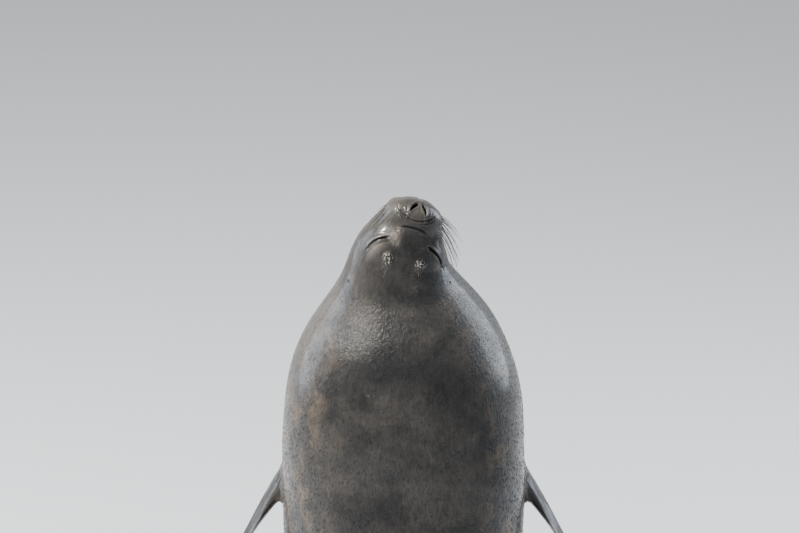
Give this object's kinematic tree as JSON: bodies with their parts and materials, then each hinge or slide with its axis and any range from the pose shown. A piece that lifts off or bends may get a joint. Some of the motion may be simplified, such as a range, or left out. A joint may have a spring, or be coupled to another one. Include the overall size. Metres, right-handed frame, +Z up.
{
  "type": "elephant seal model",
  "caption": "Life-size young elephant seal hanging upright with its head thrown back, eyes closed and nose to the sky, held by rods on a flat display base.",
  "frame": {"origin": "middle of the display base's underside", "axes": "+Z up, from the base to the nose; -Y is the side of the animal's back; +X is the animal's right"},
  "size_m": [0.96, 1.36, 2.0845],
  "materials": {
    "hide": "wet, short grey-brown coat, darker down the middle of the back and paler on the sides",
    "flipper_skin": "wet, nearly bare dark skin",
    "horn": "dark, smooth horn of nails and whiskers",
    "base_wood": "dark oiled wood, satin",
    "rod_steel": "brushed steel"
  },
  "bodies": {
    "root": {"head": "hide", "lower_jaw": "hide", "closed_eye_left": "hide", "closed_eye_right": "hide", "neck": "hide", "chest": "hide", "belly": "hide", "hips": "hide", "tail": "hide", "foreflipper_left": "flipper_skin", "foreflipper_right": "flipper_skin", "hindflipper_left": "flipper_skin", "hindflipper_right": "flipper_skin", "nail_left_1": "horn", "nail_left_2": "horn", "nail_left_3": "horn", "nail_left_4": "horn", "nail_left_5": "horn", "nail_right_1": "horn", "nail_right_2": "horn", "nail_right_3": "horn", "nail_right_4": "horn", "nail_right_5": "horn", "stand_base": "base_wood", "stand_flange_front": "rod_steel", "stand_flange_rear": "rod_steel", "stand_rod_front": "rod_steel", "stand_rod_rear": "rod_steel"}
  },
  "joints": []
}
